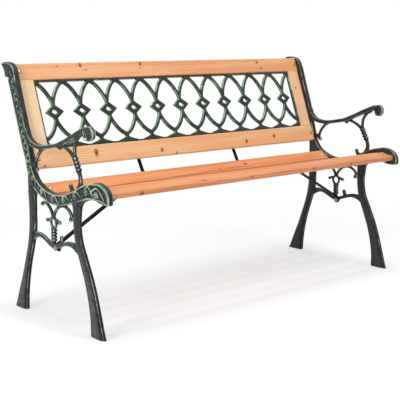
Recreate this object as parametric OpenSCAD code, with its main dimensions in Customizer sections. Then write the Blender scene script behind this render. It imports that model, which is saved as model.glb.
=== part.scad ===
// Garden bench: two scrollwork iron end frames, a slatted seat and a framed lattice back.
// +X runs along the bench, -Y is the front, +Z is up. The origin lies on the ground,
// under the middle of the bench. All sizes are in millimetres.

/* [Bench] */
// Overall length, over the outer faces of the two end frames
bench_l = 1220; // [1000:10:1600]
// Gap between the end of a board and the casting beside it
end_gap = 2; // [1:0.5:4]

/* [Boards] */
// Thickness of every wooden board
board_t = 16; // [14:1:18]
// Width of a seat slat
slat_w = 50; // [44:1:54]
// Width of the back's top rail
top_rail_w = 51; // [44:1:56]
// Width of the back's bottom rail
bottom_rail_w = 56; // [50:1:62]
// Width of an upright stile at each end of the back
stile_w = 50; // [40:1:70]
// Rounding of the long edges of a board
board_round = 3; // [1:0.5:5]

/* [Back] */
// Lean of the back from upright, in degrees
back_lean = 20.2; // [18:0.2:22]
// Height of the lattice opening between the rails
opening_h = 209.5; // [200:0.5:212]

/* [Lattice] */
// Number of diamonds in the lattice
diamonds = 11; // [7:1:15]
// Half width of a diamond
diamond_a = 33; // [20:1:36]
// Half height of a diamond
diamond_b = 25; // [16:1:28]
// Width of a lattice strand
strand_w = 12; // [6:0.5:13]
// Depth of a lattice strand, front to back
strand_t = 10; // [5:0.5:12]
// Size of the hole in a diamond, as a share of the diamond
diamond_eye = 0.34; // [0.2:0.02:0.5]
// Width of the lattice's border
border_w = 5; // [3:0.5:8]

/* [Castings] */
// Full thickness of an end frame
casting_t = 18; // [16:0.5:20]
// Thickness of the open scrollwork: ring, finial and cross member
lace_t = 9; // [8:0.5:12]
// Distance of the scrollwork outward from the middle of the casting
lace_out = 2; // [0:0.5:2]
// Thickness of a leg beside its raised spine
leg_t = 14; // [10:0.5:14]
// Height of the raised edge beads on the seat rail
bead_h = 3; // [1:0.5:4]
// Width of the raised edge beads
bead_w = 4; // [3:0.5:6]
// Length of a lug that carries the end of a board
lug_l = 34; // [28:1:44]
// Width of a lug
lug_w = 30; // [24:1:36]
// Thickness of a lug
lug_t = 5; // [4:0.5:6]

/* [Ironwork] */
// Width of the braces
bar_w = 17; // [12:1:18]
// Width of the bent straps under the seat
strap_w = 11; // [10:1:16]
// Thickness of the straps and braces
bar_t = 4; // [3:0.5:5]
// Half the distance between the two straps
strap_x = 204; // [150:1:240]
// Distance of the pair of straps from the middle of the bench, to the right
strap_shift = -10; // [-20:1:20]
// Distance from the middle of the bench to a brace's upper end
brace_top_x = 383; // [320:1:420]

/* [Fasteners] */
// Radius of a coach bolt's shank
bolt_r = 3; // [2.5:0.5:4]
// Radius of a coach bolt's domed head
bolt_head_r = 7; // [6:0.5:9]
// Height of a coach bolt's domed head
bolt_head_h = 2.5; // [2:0.5:3]
// Distance from the end of a board to its bolt
bolt_inset = 10; // [9:0.5:14]
// Distance across the flats of a nut
nut_af = 10; // [8:0.5:13]
// Height of a nut
nut_h = 5; // [4:0.5:6.5]
// Radius of a washer
washer_r = 7; // [6:0.5:9]
// Thickness of a washer
washer_t = 1.2; // [1:0.1:2]
// Radius of a wood screw
screw_r = 2; // [1.5:0.25:2.5]
// Radius of a wood screw's head
screw_head_r = 4; // [3:0.25:5]
// Radius of a dowel between rail and stile
dowel_r = 4; // [3:0.5:5]
// Depth that a dowel reaches into each piece
dowel_depth = 20; // [12:1:30]

/* [Hidden] */

$fn = 32;
hole_gap = 0.3;               // clearance round a shank, screw or dowel
eps = 0.01;
iron = "#2f3a34";
fir = "#f0b27f";
steel = "#1c1e20";
zinc = "#b9895c";
resin = "#34473a";

frame_x = bench_l / 2 - casting_t / 2;             // middle plane of an end frame
inner_x = bench_l / 2 - casting_t;                 // inner face of an end frame
board_end = inner_x - end_gap;                     // end of every long board
bolt_x = board_end - bolt_inset;
lug_depth = board_t + lug_t;                       // from a board's face to the lug's back

// Places of the seat slats: middle of the top face in Y and Z, and its slope in degrees.
slats = [[-231.5, 406.5, 12], [-163, 402, -15], [-93, 378, -21], [-20, 363.5, 0],
  [53, 380.3, 28.9]];

// Centreline and width of the rail that runs from the nose, under the seat and up to the head.
seat_rail = [[-205, 403, 46], [-166.5, 398, 40], [-128.5, 384.5, 37], [-79.5, 367.5, 31],
  [-28.5, 357, 31], [18.5, 358.5, 30], [63.5, 372.5, 29], [93, 390.5, 28.5],
  [116.5, 422, 28.5], [127.5, 458, 28], [142, 500, 33], [157.5, 550, 38],
  [174.5, 600, 37.5], [191.5, 650, 37.5], [206, 690, 40]];

// Lower edge of the lattice opening, on the front face of the back: it lies a little
// behind the front edge of the upright, so the back goes where the castings go.
back_set = 5.5;               // depth of the wood's face behind the edge of the upright
foot_drop = 22.3;             // fall from the upright's tenth point to the opening
rise = [sin(back_lean), cos(back_lean)];           // up the back, in Y and Z
back_foot = edge(seat_rail, 1)[10] + back_set * cos_sin(-back_lean) - foot_drop * rise;
function back_at(v) = concat(back_foot + v * rise, 90 - back_lean);
top_rail = back_at(opening_h + top_rail_w / 2);
bottom_rail = back_at(-bottom_rail_w / 2);
opening_w = 2 * (board_end - stile_w);

// ---------- curves ----------
function catmull(a, b, c, d, t) = 0.5 * (2 * b + (c - a) * t
  + (2 * a - 5 * b + 4 * c - d) * t * t + (3 * b - a - 3 * c + d) * t * t * t);
function smooth(p, n = 5) = let (last = len(p) - 1)
  [for (i = [0:last - 1]) for (k = [0:n - 1])
    catmull(p[max(i - 1, 0)], p[i], p[i + 1], p[min(i + 2, last)], k / n), p[last]];
function backwards(v) = [for (i = [len(v) - 1:-1:0]) v[i]];
function heading(c, i) = let (a = c[max(i - 1, 0)], b = c[min(i + 1, len(c) - 1)],
  d = [b[0] - a[0], b[1] - a[1]]) d / norm(d);
// Points at one side of a centreline of [y, z, width] points, "inset" in from its edge.
function edge(c, side, inset = 0) = [for (i = [0:len(c) - 1])
  let (h = heading(c, i), w = side * (c[i][2] / 2 - inset))
  [c[i][0] - h[1] * w, c[i][1] + h[0] * w]];

// ---------- flat shapes, drawn in the Y-Z plane ----------
// A smooth member of changing width along its centreline.
module member(p, inset = 0, n = 5) {
  c = smooth(p, n);
  polygon(concat(edge(c, 1, inset), backwards(edge(c, -1, inset))));
}

// The raised bead along one edge of a member.
module edge_bead(p, side) {
  c = smooth(p);
  polygon(concat(edge(c, side), backwards(edge(c, side, bead_w))));
}

// A round-ended bar from a to b.
module bar(a, b, w) {
  d = b - a;
  translate(a) rotate(atan2(d[1], d[0])) translate([0, -w / 2]) square([norm(d), w]);
  translate(a) circle(w / 2);
  translate(b) circle(w / 2);
}

module knob(c, r) {
  translate(c) circle(r);
}

// Stands a flat shape up in the Y-Z plane, t thick about the middle of an end frame.
module cast_plate(t, out = 0) {
  translate([frame_x + out - t / 2, 0, 0]) rotate([90, 0, 90]) linear_extrude(t) children();
}

// ---------- end frame ----------
front_leg = [[-204, -16, 68.5], [-200, 0, 61.5], [-192, 50, 47], [-180, 100, 40.5],
 [-163.5, 150, 36.5], [-141, 200, 33.5], [-119, 250, 30], [-111, 300, 29.5], [-113.5, 350, 35],
 [-116, 380, 41]];
rear_leg = [[201, -16, 70.5], [195.5, 0, 63.5], [183.5, 50, 46], [168.5, 100, 32.5],
 [152.5, 150, 27], [135, 200, 27], [121.5, 250, 31.5], [118.5, 300, 31], [118, 350, 32.5],
 [118.5, 400, 29], [121, 434, 26]];
arm = [[-168, 563, 17], [-146.5, 556.8, 15.5], [-116.5, 545.3, 14.5], [-86.5, 532.5, 14],
  [-56.5, 520.5, 14], [-26.5, 510.5, 13], [3.5, 504.8, 12.5], [33.5, 499.8, 12.5],
  [63.5, 497, 12.5], [83.5, 498, 13], [104, 502.5, 14], [119, 508.5, 18],
  [132, 519.5, 20], [140.5, 544, 14]];
scroll_c = [-179.5, 552];
scroll_r = 21.5;
finial_y = 6;
cross_bolt = [-4, 217];
cross_bolt_hole = bolt_r + hole_gap;

module nose() {
  polygon(concat(
    smooth([[-266, 372], [-267.5, 386], [-265, 399], [-258, 410], [-246.5, 418.5],
      [-231.5, 424.5], [-216, 427], [-198, 426]], 4),
    smooth([[-192, 381], [-207, 379], [-219, 374], [-236, 371.5], [-266, 372]], 3)));
}

// The hooked head that closes over the end of the top rail.
module head() {
  polygon(concat(
    smooth([[187, 690], [190, 705], [199, 719], [214, 728.5], [233, 731.5],
      [251, 731], [267.5, 726]], 4),
    smooth([[257, 716], [250, 704], [247, 688]], 3), [[224, 686]]));
}

// The web that sweeps from the front leg forward under the nose.
module knee() {
  polygon(concat(smooth([[-124, 322], [-126, 340], [-133, 356], [-146, 367.5],
    [-164, 376], [-186, 382]], 4), [[-170, 395], [-105, 385], [-105, 325]]));
}

// Coiled end of the arm: a spiral that winds in to an eye.
module volute() {
  turns = 1.6;
  steps = 40;
  spiral = [for (k = [0:steps]) let (a = 75 + 360 * turns * k / steps,
    r = (scroll_r - 3) * (1 - 0.72 * k / steps))
    [scroll_c[0] + r * cos(a), scroll_c[1] + r * sin(a), 6 - 2 * k / steps]];
  member(spiral, 0, 1);
  knob(scroll_c, 4.5);
}

// Open ring between arm and seat rail, with its curls.
module ring() {
  member([[-131, 398, 19], [-134.5, 418, 13.5], [-134, 433, 13], [-129, 446, 12.5],
    [-123, 457, 12], [-116, 470, 12], [-109, 484, 13]]);
  member([[-109, 482, 12], [-109, 500, 9.5], [-110, 512, 9], [-114.5, 524, 9],
    [-123, 535, 9], [-134.5, 543.5, 9], [-148, 549, 11]], 0, 4);
  member([[-106, 484, 12], [-88, 496.5, 9.5], [-72.5, 503.5, 9], [-57, 509, 9],
    [-40, 513, 11]], 0, 4);
  knob([-36.5, 504.5], 7);
  member([[-133, 414, 14], [-124.5, 402, 12], [-112.5, 394.5, 12], [-100.5, 392, 12],
    [-90, 395.5, 11], [-86, 405, 10]], 0, 4);
  knob([-86, 406], 6);
  member([[40, 497, 8], [63.5, 486.5, 8.5], [79, 472, 8.5], [89, 456, 8.5],
    [93, 442, 10], [90, 432, 10]], 0, 4);
  knob([85.5, 431], 5.8);
  bar([96, 443], [114, 446], 13);
}

// Collars on the ring's front stem and on the finial's stem.
module collars() {
  for (k = [0:3]) {
    c = [-126.5, 451] + k * [5.2, 9.6];
    bar(c + [-5.6, 3], c + [5.6, -3], 6.5);
  }
  for (k = [0:3])
    bar([finial_y - 6.5, 240 + 9 * k], [finial_y + 6.5, 240 + 9 * k], 6);
}

// Low cross member between the legs, dipping to the bolt of the brace.
module cross_member() {
  member([[-127, 221, 20], [-112, 232, 21.5], [-96, 238, 18], [-76.5, 240.5, 14], [-54.5, 237.5, 12.5],
    [-36.5, 231.5, 12], [-16.5, 225, 12], [-2, 221, 15], [10, 221, 15],
    [24, 225, 14], [38.5, 231, 14], [55.5, 238, 13.5], [73.5, 242.5, 13.5],
    [94, 241, 17.5], [111, 234.5, 21], [127, 226, 22]]);
  member([[-38, 232, 13], [-35.5, 242, 12], [-33, 250, 12]], 0, 3);
  knob([-33, 250.5], 7);
  knob([cross_bolt[0], cross_bolt[1] + 2], 9);
}

module finial_half() {
  member([[0, 268, 9], [-10, 279, 7], [-14.5, 289.5, 6.5], [-10, 299, 6.5],
    [0, 304.5, 8]], 0, 4);
  member([[-8, 299, 7.5], [-19, 297, 8], [-31, 293, 8.5]], 0, 3);
  knob([-31, 292.5], 5.8);
}

module finial() {
  translate([finial_y - 6, 226]) square([12, 44]);
  translate([finial_y, 0]) {
    finial_half();
    mirror([1, 0]) finial_half();
  }
  member([[5.5, 303, 9.5], [-2, 318, 8.5], [-13, 330, 8], [-28.5, 339, 8],
    [-48.5, 343, 8], [-68, 338.5, 8], [-82, 328, 8.5], [-87, 316, 10]], 0, 4);
  knob([-82, 309.5], 6.5);
  member([[7, 303, 9.5], [15, 320, 8.5], [26, 331.5, 8], [40, 339.5, 8],
    [54, 341.5, 8.5], [61, 338, 8.5]], 0, 4);
  knob([63, 335], 5.4);
}

leg_step = 6;                 // distance from a leg's edge to its raised spine
module legs(inset = 0) {
  intersection() {
    union() {
      member(front_leg, inset);
      member(rear_leg, inset);
    }
    translate([-500, 0]) square([1000, 1000]);
  }
}

// Ends what joins the rail under the rail's edge bead, so the sunk field stays open.
module clear_of_field() {
  difference() {
    union() children();
    member(seat_rail, bead_w / 2);
  }
}

// Places a child on a board's face: X along the board, Y across it, Z out of the face.
module on_board(b) {
  translate([0, b[0], b[1]]) rotate([b[2], 0, 0]) children();
}

module lug() {
  translate([inner_x - lug_l, -lug_w / 2, -lug_depth])
    cube([lug_l + casting_t / 2, lug_w, lug_t]);
}

module shank_hole(r) {
  translate([bolt_x, 0, -lug_depth - 1]) cylinder(r = r + hole_gap, h = lug_t + 2);
}

module end_frame() {
  difference() {
    union() {
      // the rail from the nose to the head, with its field sunk between two beads
      translate([-bead_h / 2, 0, 0]) cast_plate(casting_t - bead_h) {
        member(seat_rail);
        nose();
        head();
      }
      cast_plate(casting_t) {
        edge_bead(seat_rail, 1);
        edge_bead(seat_rail, -1);
      }
      // legs: a wide plate with a raised spine
      cast_plate(leg_t) clear_of_field() {
        legs();
        knee();
      }
      cast_plate(casting_t) clear_of_field() legs(leg_step);
      cast_plate(casting_t - 2) {
        clear_of_field() member(arm);
        volute();
      }
      cast_plate(lace_t + 4, lace_out) collars();
      cast_plate(lace_t, lace_out) {
        knob(scroll_c, scroll_r - 2);
        clear_of_field() ring();
        cross_member();
        clear_of_field() finial();
      }
      for (b = slats) on_board(b) lug();
      on_board(top_rail) lug();
      on_board(bottom_rail) lug();
    }
    for (b = slats) on_board(b) shank_hole(bolt_r);
    on_board(top_rail) shank_hole(bolt_r);
    on_board(bottom_rail) shank_hole(bolt_r);
    translate([inner_x - 1, cross_bolt[0], cross_bolt[1]]) rotate([0, 90, 0])
      cylinder(r = cross_bolt_hole, h = casting_t + 2);
  }
}

module left_end_frame() { color(iron) mirror([1, 0, 0]) end_frame(); }
module right_end_frame() { color(iron) end_frame(); }

// ---------- boards ----------
module both_ends() {
  children();
  mirror([1, 0, 0]) children();
}

// Cross-section of a board, with its top face at Z = 0 and its edges rounded.
module board_section(w) {
  r = board_round;
  for (y = [-w / 2 + r, w / 2 - r]) for (z = [-board_t + r, -r]) translate([y, z]) circle(r);
  translate([-w / 2 + r, -board_t]) square([w - 2 * r, board_t]);
  translate([-w / 2, -board_t + r]) square([w, board_t - 2 * r]);
}

module long_board(w) {
  difference() {
    translate([-board_end, 0, 0]) rotate([90, 0, 90]) linear_extrude(2 * board_end)
      board_section(w);
    both_ends() translate([bolt_x, 0, -board_t - 1])
      cylinder(r = bolt_r + hole_gap, h = board_t + 2);
  }
}

screw_bite = 10;              // depth that a screw reaches into the wood
module pilot_up() {
  translate([0, 0, -board_t - eps]) cylinder(r = screw_r + hole_gap, h = screw_bite + eps);
}

module at_straps() {
  for (s = [-1, 1]) translate([strap_shift + s * strap_x, 0, 0]) children();
}

module seat_slat(i) {
  color(fir) on_board(slats[i]) difference() {
    long_board(slat_w);
    at_straps() pilot_up();
    if (i == brace_slat) both_ends() translate([brace_screw_x, brace_v, 0]) pilot_up();
  }
}

dowel_v = 14;                 // distance of each dowel from the middle of a stile
module dowel_pair(r, depth) {
  stile_x = board_end - stile_w / 2;
  both_ends() for (s = [-1, 1]) translate([stile_x + s * dowel_v, 0, -board_t / 2])
    rotate([-90, 0, 0]) translate([0, 0, -depth]) cylinder(r = r, h = 2 * depth);
}

module at_joints() {
  for (v = [0, opening_h]) on_board(back_at(v)) children();
}

module dowel_holes() {
  at_joints() dowel_pair(dowel_r + hole_gap, dowel_depth + 1);
}

module back_top_rail() {
  color(fir) difference() {
    on_board(top_rail) long_board(top_rail_w);
    dowel_holes();
    lattice_screw_holes();
  }
}

module back_bottom_rail() {
  color(fir) difference() {
    on_board(bottom_rail) difference() {
      long_board(bottom_rail_w);
      at_straps() translate([0, strap_top_v, 0]) pilot_up();
    }
    dowel_holes();
    lattice_screw_holes();
  }
}

module stile() {
  difference() {
    on_board(back_at(0)) translate([board_end - stile_w / 2, opening_h, 0])
      rotate([90, 0, 0]) linear_extrude(opening_h) board_section(stile_w);
    dowel_holes();
  }
}

module back_stile_left() { color(fir) mirror([1, 0, 0]) stile(); }
module back_stile_right() { color(fir) stile(); }

module stile_dowels() {
  color("burlywood") at_joints() dowel_pair(dowel_r, dowel_depth);
}

// ---------- lattice ----------
lattice_gap = 0.5;            // play between the lattice and the wood round it
lattice_set = 1;              // how far the border sits behind the face of the wood
panel_w = opening_w - 2 * lattice_gap;
panel_h = opening_h - 2 * lattice_gap;
border_t = board_t - 2 * lattice_set;
pitch = (panel_w - border_w) / diamonds;
diamond_v = opening_h * 0.53;
crest_v = opening_h - border_w;
cross_v = 26;

module diamond(a, b) {
  polygon([[-a, 0], [0, b], [a, 0], [0, -b]]);
}

// A strand from a diamond's tip out to the crossing halfway to its neighbour.
module strand(tip_v, end_v) {
  dv = end_v - tip_v;
  p = pitch / 2;
  member([[0, tip_v, strand_w], [0.1 * p, tip_v + 0.24 * dv, strand_w],
    [0.36 * p, tip_v + 0.58 * dv, strand_w], [0.66 * p, tip_v + 0.83 * dv, strand_w],
    [p, end_v, strand_w]], 0, 3);
}

module lattice_cell() {
  difference() {
    translate([0, diamond_v]) diamond(diamond_a, diamond_b);
    translate([0, diamond_v]) diamond(diamond_a * diamond_eye, diamond_b * diamond_eye);
  }
  for (s = [0, 1]) mirror([s, 0]) {
    strand(diamond_v + diamond_b - 3, crest_v);
    strand(diamond_v - diamond_b + 3, cross_v);
  }
}

// Fills the foot of the lattice below a crossing, out to its neighbours on both sides.
module gusset() {
  polygon([[-pitch / 2, border_w * 0.7], [-strand_w * 0.8, cross_v * 0.62], [0, cross_v],
    [strand_w * 0.8, cross_v * 0.62], [pitch / 2, border_w * 0.7]]);
}

module lattice_outline() {
  translate([-panel_w / 2, lattice_gap]) square([panel_w, panel_h]);
}

module lattice_panel() {
  color(resin) on_board(back_at(0)) difference() {
    union() {
      translate([0, 0, -lattice_set - border_t]) linear_extrude(border_t) difference() {
        lattice_outline();
        translate([-panel_w / 2 + border_w, lattice_gap + border_w])
          square([panel_w - 2 * border_w, panel_h - 2 * border_w]);
      }
      translate([0, 0, -(board_t + strand_t) / 2]) linear_extrude(strand_t) intersection() {
        union() {
          for (k = [0:diamonds - 1]) translate([(k - (diamonds - 1) / 2) * pitch, 0])
            lattice_cell();
          for (k = [0:diamonds]) translate([(k - diamonds / 2) * pitch, 0]) gusset();
        }
        lattice_outline();
      }
    }
    lattice_screw_shapes(screw_r + hole_gap, border_w + lattice_gap);
  }
}

// Screws through the border into the rails above and below.
lattice_screw_x = [-3 * pitch, 0, 3 * pitch];
module lattice_screw_shapes(r, bite) {
  for (x = lattice_screw_x) for (v = [0, opening_h])
    translate([x, v, -board_t / 2]) rotate([90, 0, 0])
      translate([0, 0, -bite]) cylinder(r = r, h = 2 * bite);
}

module lattice_screw_holes() {
  on_board(back_at(0)) lattice_screw_shapes(screw_r + hole_gap, 12);
}

module lattice_screws() {
  color(zinc) on_board(back_at(0)) for (x = lattice_screw_x) for (s = [0, 1]) {
    // s = 0 goes down into the bottom rail, s = 1 goes up into the top rail
    v = s == 0 ? lattice_gap + border_w : opening_h - lattice_gap - border_w;
    translate([x, v, -board_t / 2]) rotate([s == 0 ? 90 : -90, 0, 0]) {
      cylinder(r = screw_r, h = 15);
      translate([0, 0, -1.5]) cylinder(r = screw_head_r - 1, h = 1.5);
    }
  }
}

// ---------- straps and braces ----------
function cos_sin(a) = [cos(a), sin(a)];
// A point u across a board and d below its face, in Y and Z.
function board_point(b, u, d) = [b[0], b[1]] + u * cos_sin(b[2]) - d * cos_sin(b[2] + 90);
strap_flat = 17;              // half length of the flat where a strap meets a slat
strap_tip = 9;                // reach of a strap in front of the front slat's middle
strap_heel = [95, 381];       // where a strap turns up behind the seat
strap_top_v = 4;              // height of its top screw above the rail's middle
strap_line = [for (b = slats) for (s = [-1, 1])
    board_point(b, b == slats[0] && s < 0 ? -strap_tip : s * strap_flat, board_t),
  strap_heel, board_point(bottom_rail, -bottom_rail_w / 2 + 4, board_t),
  board_point(bottom_rail, strap_top_v + 12, board_t)];

// Offsets a bent line to one side, keeping its flats parallel.
function bent(p, t) = [for (i = [0:len(p) - 1])
  let (a = p[max(i - 1, 0)], b = p[i], c = p[min(i + 1, len(p) - 1)],
    u = i == 0 ? (c - b) / norm(c - b) : (b - a) / norm(b - a),
    v = i == len(p) - 1 ? u : (c - b) / norm(c - b),
    m = (u + v) / norm(u + v), k = t / (m * u))
  b + k * [m[1], -m[0]]];

module strap() {
  difference() {
    translate([-strap_w / 2, 0, 0]) rotate([90, 0, 90]) linear_extrude(strap_w)
      polygon(concat(strap_line, backwards(bent(strap_line, bar_t))));
    strap_screw_places() translate([0, 0, -bar_t - 1])
      cylinder(r = screw_r + hole_gap, h = bar_t + 2);
  }
}

module strap_screw_places() {
  for (b = slats) on_board(b) translate([0, 0, -board_t]) children();
  on_board(bottom_rail) translate([0, strap_top_v, -board_t]) children();
}

module seat_strap_left() { color(steel) translate([strap_shift - strap_x, 0, 0]) strap(); }
module seat_strap_right() { color(steel) translate([strap_shift + strap_x, 0, 0]) strap(); }

// A screw driven up through a bar that lies against a board's back.
module bar_screw() {
  translate([0, 0, -bar_t]) {
    cylinder(r = screw_r, h = bar_t + screw_bite - 1);
    translate([0, 0, -2]) cylinder(r = screw_head_r, h = 2);
  }
}

module strap_screws() {
  color(steel) at_straps() strap_screw_places() bar_screw();
}

brace_slat = 3;
brace_y = cross_bolt[0];
brace_v = brace_y - slats[brace_slat][0];
brace_tab = 14;
brace_screw_x = brace_top_x - brace_tab / 2;
lace_back = frame_x + lace_out - lace_t / 2;       // inner face of the cross member
brace_up = slats[brace_slat][1] - board_t;         // underside of the slat it holds
brace_line = [[lace_back, cross_bolt[1] - 9], [lace_back, cross_bolt[1] + 12],
  [brace_top_x, brace_up], [brace_top_x - brace_tab, brace_up]];

module brace() {
  difference() {
    translate([0, brace_y + bar_w / 2, 0]) rotate([90, 0, 0]) linear_extrude(bar_w)
      polygon(concat(brace_line, backwards(bent(brace_line, -bar_t))));
    translate([lace_back - bar_t - 1, brace_y, cross_bolt[1]]) rotate([0, 90, 0])
      cylinder(r = cross_bolt_hole, h = bar_t + 2);
    translate([brace_screw_x, brace_y, brace_up - bar_t - 1])
      cylinder(r = screw_r + hole_gap, h = bar_t + 2);
  }
}

module brace_left() { color(steel) mirror([1, 0, 0]) brace(); }
module brace_right() { color(steel) brace(); }

module brace_screws() {
  color(steel) both_ends() translate([brace_screw_x, brace_y, brace_up]) bar_screw();
}

// ---------- coach bolts ----------
// Head at Z = 0, shank down -Z.
module coach_bolt(grip) {
  dome_r = (bolt_head_r * bolt_head_r + bolt_head_h * bolt_head_h) / (2 * bolt_head_h);
  translate([0, 0, -grip]) cylinder(r = bolt_r, h = grip + eps);
  intersection() {
    translate([0, 0, bolt_head_h - dome_r]) sphere(dome_r, $fn = 64);
    cylinder(r = bolt_head_r, h = bolt_head_h + 1);
  }
}

module washer() {
  difference() {
    cylinder(r = washer_r, h = washer_t);
    translate([0, 0, -1]) cylinder(r = bolt_r + hole_gap, h = washer_t + 2);
  }
}

module nut() {
  difference() {
    cylinder(r = nut_af / 2 / cos(30), h = nut_h, $fn = 6);
    translate([0, 0, -1]) cylinder(r = bolt_r + hole_gap, h = nut_h + 2);
  }
}

bolt_tail = 2;                // shank that shows past a nut
board_grip = lug_depth + washer_t + nut_h + bolt_tail;

module at_seat_bolts() {
  both_ends() for (b = slats) on_board(b) translate([bolt_x, 0, 0]) children();
}

module at_back_bolts() {
  both_ends() for (b = [top_rail, bottom_rail]) on_board(b) translate([bolt_x, 0, 0])
    children();
}

module seat_bolts() { color(zinc) at_seat_bolts() coach_bolt(board_grip); }
module back_bolts() { color(zinc) at_back_bolts() coach_bolt(board_grip); }
module seat_washers() {
  color(zinc) at_seat_bolts() translate([0, 0, -lug_depth - washer_t]) washer();
}
module back_washers() {
  color(zinc) at_back_bolts() translate([0, 0, -lug_depth - washer_t]) washer();
}
module seat_nuts() {
  color(zinc) at_seat_bolts() translate([0, 0, -lug_depth - washer_t - nut_h]) nut();
}
module back_nuts() {
  color(zinc) at_back_bolts() translate([0, 0, -lug_depth - washer_t - nut_h]) nut();
}

// The bolt that joins a brace to the cross member, its head on the outer face.
lace_front = lace_back + lace_t;
brace_grip = lace_t + bar_t;
module at_brace_bolts() {
  both_ends() translate([lace_front, brace_y, cross_bolt[1]]) rotate([0, 90, 0]) children();
}

module brace_bolts() {
  color(zinc) at_brace_bolts() coach_bolt(brace_grip + washer_t + nut_h + bolt_tail);
}
module brace_washers() {
  color(zinc) at_brace_bolts() translate([0, 0, -brace_grip - washer_t]) washer();
}
module brace_nuts() {
  color(zinc) at_brace_bolts() translate([0, 0, -brace_grip - washer_t - nut_h]) nut();
}

left_end_frame();
right_end_frame();
back_top_rail();
back_bottom_rail();
back_stile_left();
back_stile_right();
lattice_panel();
seat_slat(0);  // seat_slat_1_front
seat_slat(1);  // seat_slat_2
seat_slat(2);  // seat_slat_3
seat_slat(3);  // seat_slat_4
seat_slat(4);  // seat_slat_5_rear
seat_strap_left();
seat_strap_right();
brace_left();
brace_right();
seat_bolts();
seat_washers();
seat_nuts();
back_bolts();
back_washers();
back_nuts();
brace_bolts();
brace_washers();
brace_nuts();
brace_screws();
strap_screws();
lattice_screws();
stile_dowels();
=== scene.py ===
# %% [markdown]
# # A garden bench: scrollwork castings, pine boards and a lattice back
# The bench stands on two open castings. Five slats make its curved seat, and its back is
# a pine frame round a moulded lattice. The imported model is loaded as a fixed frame: every
# piece is already in place, in metres, with the front towards -Y and the ground at Z = 0.
# This lesson gives those pieces their finishes, and re-models the two castings and the
# lattice, whose plain solids lack the soft edges and the cast ornament of real ones.

# %% Load the frame
import math
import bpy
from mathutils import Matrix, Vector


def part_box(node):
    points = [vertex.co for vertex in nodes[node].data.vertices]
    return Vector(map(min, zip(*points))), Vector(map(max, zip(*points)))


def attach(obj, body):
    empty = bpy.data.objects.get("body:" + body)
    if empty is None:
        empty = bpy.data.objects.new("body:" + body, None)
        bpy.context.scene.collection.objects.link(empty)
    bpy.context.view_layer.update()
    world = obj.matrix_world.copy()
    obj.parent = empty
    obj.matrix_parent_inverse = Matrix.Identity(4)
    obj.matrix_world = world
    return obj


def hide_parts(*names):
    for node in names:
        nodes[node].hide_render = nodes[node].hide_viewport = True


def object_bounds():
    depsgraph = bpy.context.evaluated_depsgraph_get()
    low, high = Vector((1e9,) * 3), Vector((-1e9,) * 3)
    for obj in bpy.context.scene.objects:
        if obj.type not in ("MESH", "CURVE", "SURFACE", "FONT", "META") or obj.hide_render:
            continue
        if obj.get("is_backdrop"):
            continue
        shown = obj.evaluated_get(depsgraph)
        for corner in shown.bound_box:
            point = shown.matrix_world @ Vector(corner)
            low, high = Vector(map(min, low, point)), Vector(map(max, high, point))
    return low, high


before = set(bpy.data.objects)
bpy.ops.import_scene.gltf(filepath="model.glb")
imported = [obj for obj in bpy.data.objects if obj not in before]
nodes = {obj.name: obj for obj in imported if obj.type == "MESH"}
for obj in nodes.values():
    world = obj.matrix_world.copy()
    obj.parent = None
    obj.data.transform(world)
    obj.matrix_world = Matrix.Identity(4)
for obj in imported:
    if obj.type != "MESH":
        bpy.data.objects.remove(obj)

from types import SimpleNamespace

import bmesh
import bpy
import numpy as np
from mathutils import Matrix, Vector

cad_low, cad_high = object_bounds()
print("bench box", [round(v, 3) for v in cad_high - cad_low], "pieces", len(nodes))

# %% [markdown]
# ## The camera and the studio
# The bench is seen from the front left and a little above the seat, with a long lens, so
# its far end is only slightly smaller than its near end. The tiny shifts set the framing.

# %% Camera
camera_data = bpy.data.cameras.new("camera")
camera_data.lens = 82.93
camera_data.sensor_width = 36.0
camera_data.shift_x = -0.0065
camera_data.shift_y = -0.0025
camera_data.clip_end = 60.0
camera = bpy.data.objects.new("camera", camera_data)
camera.location = (-1.962, -2.181, 0.801)
camera.rotation_euler = (math.radians(80.07), 0.0, math.radians(-41.21))
bpy.context.scene.collection.objects.link(camera)
bpy.context.scene.camera = camera
bpy.context.scene.view_settings.view_transform = "Standard"
print("camera at", tuple(round(v, 3) for v in camera.location))

# %% [markdown]
# ## Short names for shader nodes
# A material is a tree of nodes. It can be drawn by hand in the Shader Editor, but a
# script keeps it readable and repeatable. One helper adds a node and feeds its inputs,
# each with a link or a plain value, so that each finish below reads like a recipe.

# %% Node helpers
def feed(tree, socket, value):
    """Links a socket to another node's output, or writes a plain value into it."""
    if isinstance(value, bpy.types.NodeSocket):
        tree.links.new(value, socket)
    else:
        socket.default_value = value


def add(tree, kind, inputs=None, **fields):
    made = tree.nodes.new(kind)
    for name, value in fields.items():
        setattr(made, name, value)
    for key, value in (inputs or {}).items():
        feed(tree, made.inputs[key], value)
    return made


def maths(tree, operation, *values):
    return add(tree, "ShaderNodeMath", dict(enumerate(values)), operation=operation).outputs[0]


def vector_maths(tree, operation, *values):
    return add(tree, "ShaderNodeVectorMath", dict(enumerate(values)), operation=operation).outputs


def remap(tree, value, low, high, to_low=0.0, to_high=1.0):
    """A smooth step from to_low, where the value is low, to to_high."""
    made = add(tree, "ShaderNodeMapRange", {0: value, 1: low, 2: high, 3: to_low, 4: to_high},
               interpolation_type="SMOOTHSTEP")
    return made.outputs[0]

# %% [markdown]
# Colours are written as a paint chart gives them. A finish is built up as a painter does
# it: one colour after another is laid over what is there, wherever a mask lets it.

# %% Colour helpers
def colour(red, green, blue):
    """A colour as a paint chart gives it, 0 to 255, turned into scene-linear values."""
    def linear(v):
        v /= 255.0
        return v / 12.92 if v <= 0.04045 else ((v + 0.055) / 1.055) ** 2.4
    return (linear(red), linear(green), linear(blue), 1.0)


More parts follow.
